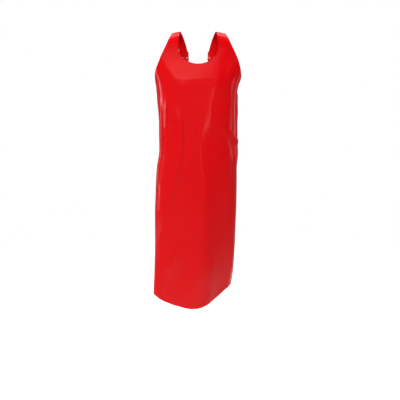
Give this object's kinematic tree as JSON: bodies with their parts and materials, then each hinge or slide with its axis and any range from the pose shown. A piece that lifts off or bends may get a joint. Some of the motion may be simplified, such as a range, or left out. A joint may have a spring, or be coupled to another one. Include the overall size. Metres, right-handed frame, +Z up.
{
  "type": "butcher apron",
  "caption": "Long glossy waterproof bib apron in its worn shape: one cut film sheet with round neck and over-shoulder straps, closed by a cross-back webbing harness and waist belt.",
  "frame": {"origin": "middle of the overall width and depth, level with the lowest point of the hem", "axes": "+Z up along the wearer's body, -Y the wearer's front, +X the wearer's left"},
  "size_m": [0.3816, 0.2334, 1.2474],
  "materials": {
    "film_red": "glossy thin film",
    "webbing_white": "woven webbing",
    "acetal_white": "satin moulded",
    "steel": "satin stainless",
    "label_white": "blank woven label"
  },
  "bodies": {
    "apron": {"apron_body": "film_red", "waist_patch_left": "film_red", "waist_patch_right": "film_red", "shoulder_patch_left": "film_red", "shoulder_patch_right": "film_red", "shoulder_tab_left": "webbing_white", "shoulder_tab_right": "webbing_white", "shoulder_rivets": "steel", "snap_studs": "steel", "snap_posts": "steel", "belt_ring_tab": "webbing_white", "belt_tab_rivets": "steel", "care_label": "label_white"},
    "harness": {"d_ring_left": "acetal_white", "d_ring_right": "acetal_white", "cross_strap_left": "webbing_white", "cross_strap_right": "webbing_white", "cross_plate_inner": "acetal_white", "cross_plate_outer": "acetal_white", "hang_eyelet": "steel", "hang_eyelet_washer": "steel", "harness_snap_caps": "steel", "harness_snap_sockets": "steel"},
    "strap_slider_left": {"strap_slider_left": "acetal_white"},
    "strap_slider_right": {"strap_slider_right": "acetal_white"},
    "belt": {"belt_ring": "acetal_white", "waist_belt": "webbing_white", "belt_snap_cap": "steel", "belt_snap_socket": "steel"},
    "belt_slider": {"belt_slider": "acetal_white"}
  },
  "joints": [
    {"name": "harness_lift", "type": "hinge", "parent": "apron", "child": "harness", "pos_m": [0, 0.11204, 1.112], "axis": [1, 0, 0], "range_deg": [0, 100]},
    {"name": "left_strap_adjust", "type": "slide", "parent": "harness", "child": "strap_slider_left", "axis": [-0.5869, 0, -0.8097], "range_m": [-0.03, 0.03]},
    {"name": "right_strap_adjust", "type": "slide", "parent": "harness", "child": "strap_slider_right", "axis": [0.5869, 0, -0.8097], "range_m": [-0.03, 0.03]},
    {"name": "belt_open", "type": "hinge", "parent": "apron", "child": "belt", "pos_m": [-0.103, 0.11204, 0.806], "axis": [0, 0, 1], "range_deg": [0, 110]},
    {"name": "belt_adjust", "type": "slide", "parent": "belt", "child": "belt_slider", "axis": [1, 0, 0], "range_m": [-0.03, 0.03]}
  ]
}
